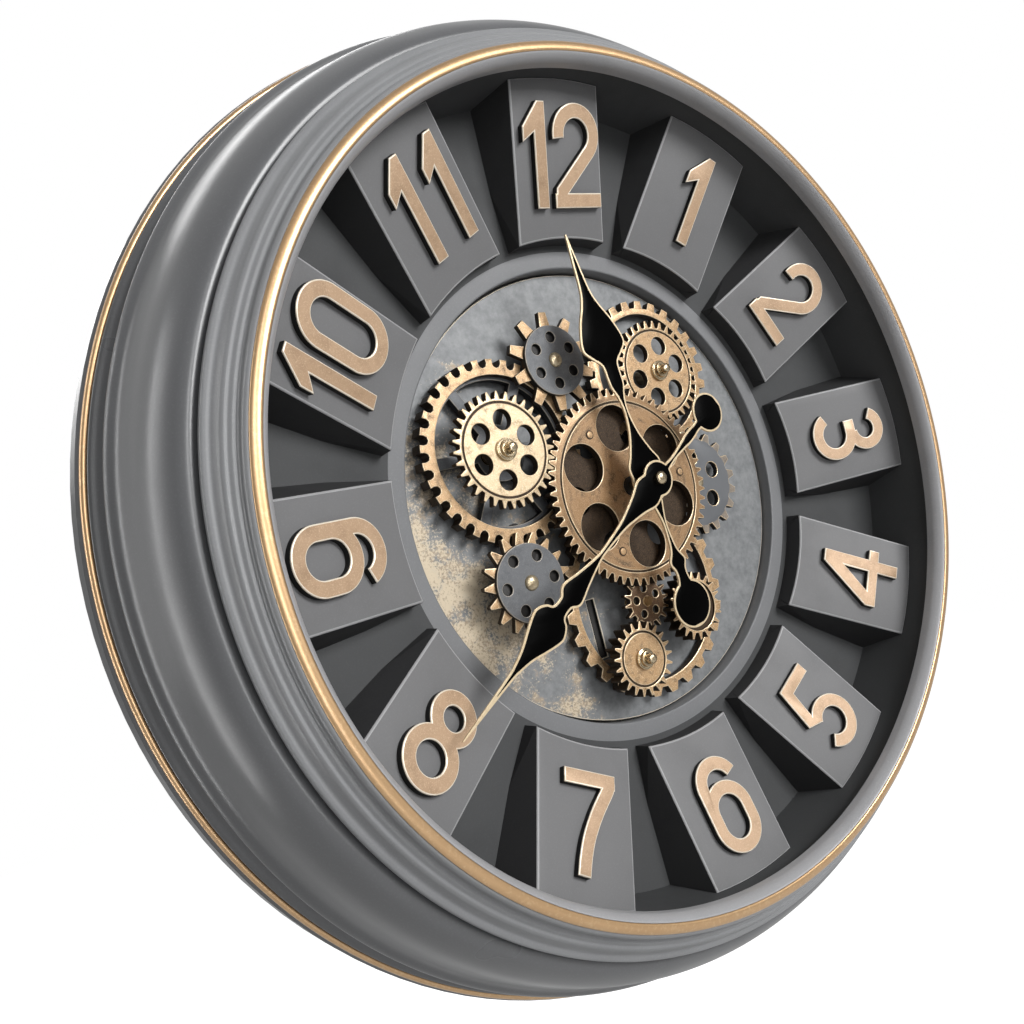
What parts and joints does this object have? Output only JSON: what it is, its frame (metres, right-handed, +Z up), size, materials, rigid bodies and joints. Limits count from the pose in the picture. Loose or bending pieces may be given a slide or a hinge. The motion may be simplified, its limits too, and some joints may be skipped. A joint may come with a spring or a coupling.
{
  "type": "gear wall clock",
  "caption": "Round wall clock with a deep rolled metal casing, raised numeral blocks, a plate of fixed and turning gears, and two spade hands.",
  "frame": {"origin": "centre of the bounding box, on the axis of the hands", "axes": "+Z up, the dial faces -Y, +Y goes back to the wall, +X is right as one looks at the dial"},
  "size_m": [0.6099, 0.1096, 0.61],
  "materials": {
    "casing": "satin grey paint",
    "casing_dark": "satin dark grey paint",
    "bead_bronze": "bronze paint, lightly rubbed",
    "dial_grey": "satin dark grey paint",
    "block_grey": "satin grey paint",
    "numeral_bronze": "bronze paint with pale rubbed edges",
    "plate_worn": "grey paint with bronze patches",
    "board_dark": "black fibreboard",
    "gear_bronze": "bronze paint with pale rubbed edges",
    "gear_dark": "dark bronze paint",
    "gear_grey": "satin grey paint",
    "brass": "polished",
    "steel": "plated",
    "black_metal": "matt black",
    "hand_enamel": "gloss black with a gilt edge",
    "black_plastic": "moulded",
    "white_plastic": "moulded",
    "cell_wrap": "printed film, left plain",
    "back_board": "dark hardboard"
  },
  "bodies": {
    "clock": {"casing_drum": "casing", "front_bezel": "casing", "rear_ring": "casing_dark", "front_bead": "bead_bronze", "rear_bead": "bead_bronze", "dial_dish": "dial_grey", "numeral_blocks": "block_grey", "numeral_1": "numeral_bronze", "numeral_2": "numeral_bronze", "numeral_3": "numeral_bronze", "numeral_4": "numeral_bronze", "numeral_5": "numeral_bronze", "numeral_6": "numeral_bronze", "numeral_7": "numeral_bronze", "numeral_8": "numeral_bronze", "numeral_9": "numeral_bronze", "numeral_10": "numeral_bronze", "numeral_11": "numeral_bronze", "numeral_12": "numeral_bronze", "gear_plate": "plate_worn", "plate_backer": "board_dark", "left_ring_gear": "gear_bronze", "upper_ring_gear": "gear_bronze", "lower_ring_gear": "gear_bronze", "top_left_gear": "gear_bronze", "bottom_left_gear": "gear_bronze", "left_spoke_wheel": "gear_grey", "right_fixed_gear": "gear_grey", "top_left_disc": "gear_grey", "bottom_left_disc": "gear_grey", "gear_studs": "brass", "gear_rivets": "steel", "centre_sleeve": "steel", "hanger_plate": "steel", "back_screws": "steel", "gear_standoffs": "black_metal", "movement_case": "black_plastic", "movement_cover": "black_plastic", "gear_motor_case": "black_plastic", "batteries": "cell_wrap", "back_panel": "back_board"},
    "minute_group": {"minute_hand": "hand_enamel", "hand_cap": "brass", "minute_shaft": "brass"},
    "hour_group": {"hour_hand": "hand_enamel", "hour_tube": "brass"},
    "knob_group": {"set_knob": "white_plastic"},
    "centre_gear_group": {"centre_gear": "gear_bronze", "rear_wheel": "gear_dark"},
    "left_gear_group": {"left_gear": "gear_bronze", "left_gear_hub": "brass"},
    "upper_gear_group": {"upper_right_gear": "gear_bronze", "upper_gear_hub": "brass"},
    "idler_group": {"idler_gear": "gear_dark", "drive_shaft": "brass"},
    "lower_gear_group": {"lower_gear": "gear_bronze", "lower_gear_hub": "brass"},
    "small_gear_group": {"small_gear": "gear_bronze", "small_gear_hub": "brass"},
    "switch_group": {"motor_switch": "white_plastic"}
  },
  "joints": [
    {"name": "minute_spin", "type": "hinge", "parent": "clock", "child": "minute_group", "pos_m": [0, 0, 0], "axis": [0, 1, 0], "continuous": true},
    {"name": "hour_spin", "type": "hinge", "parent": "clock", "child": "hour_group", "pos_m": [0, 0, 0], "axis": [0, 1, 0], "continuous": true},
    {"name": "knob_spin", "type": "hinge", "parent": "clock", "child": "knob_group", "pos_m": [-0.01202, 0.045, 0.01202], "axis": [0, 1, 0], "continuous": true},
    {"name": "centre_gear_spin", "type": "hinge", "parent": "clock", "child": "centre_gear_group", "pos_m": [0, 0, 0], "axis": [0, 1, 0], "continuous": true},
    {"name": "left_gear_spin", "type": "hinge", "parent": "clock", "child": "left_gear_group", "pos_m": [-0.08424, 0, 0.03698], "axis": [0, 1, 0], "continuous": true},
    {"name": "upper_gear_spin", "type": "hinge", "parent": "clock", "child": "upper_gear_group", "pos_m": [0.05454, 0, 0.06906], "axis": [0, 1, 0], "continuous": true},
    {"name": "idler_spin", "type": "hinge", "parent": "clock", "child": "idler_group", "pos_m": [-0.00364, 0, -0.07191], "axis": [0, 1, 0], "continuous": true},
    {"name": "lower_gear_spin", "type": "hinge", "parent": "clock", "child": "lower_gear_group", "pos_m": [-0.02237, 0, -0.10382], "axis": [0, 1, 0], "continuous": true},
    {"name": "small_gear_spin", "type": "hinge", "parent": "clock", "child": "small_gear_group", "pos_m": [0.03021, 0, -0.08416], "axis": [0, 1, 0], "continuous": true},
    {"name": "switch_slide", "type": "slide", "parent": "clock", "child": "switch_group", "axis": [0, 0, 1], "range_m": [0, 0.004]}
  ],
  "couplings": [
    {"joint": "hour_spin", "follows": "minute_spin", "ratio": 0.083333},
    {"joint": "knob_spin", "follows": "minute_spin", "ratio": -1},
    {"joint": "left_gear_spin", "follows": "centre_gear_spin", "ratio": -1.875},
    {"joint": "upper_gear_spin", "follows": "centre_gear_spin", "ratio": -1.75},
    {"joint": "idler_spin", "follows": "centre_gear_spin", "ratio": -3.5},
    {"joint": "lower_gear_spin", "follows": "centre_gear_spin", "ratio": 2.6667},
    {"joint": "small_gear_spin", "follows": "centre_gear_spin", "ratio": 2.8}
  ]
}
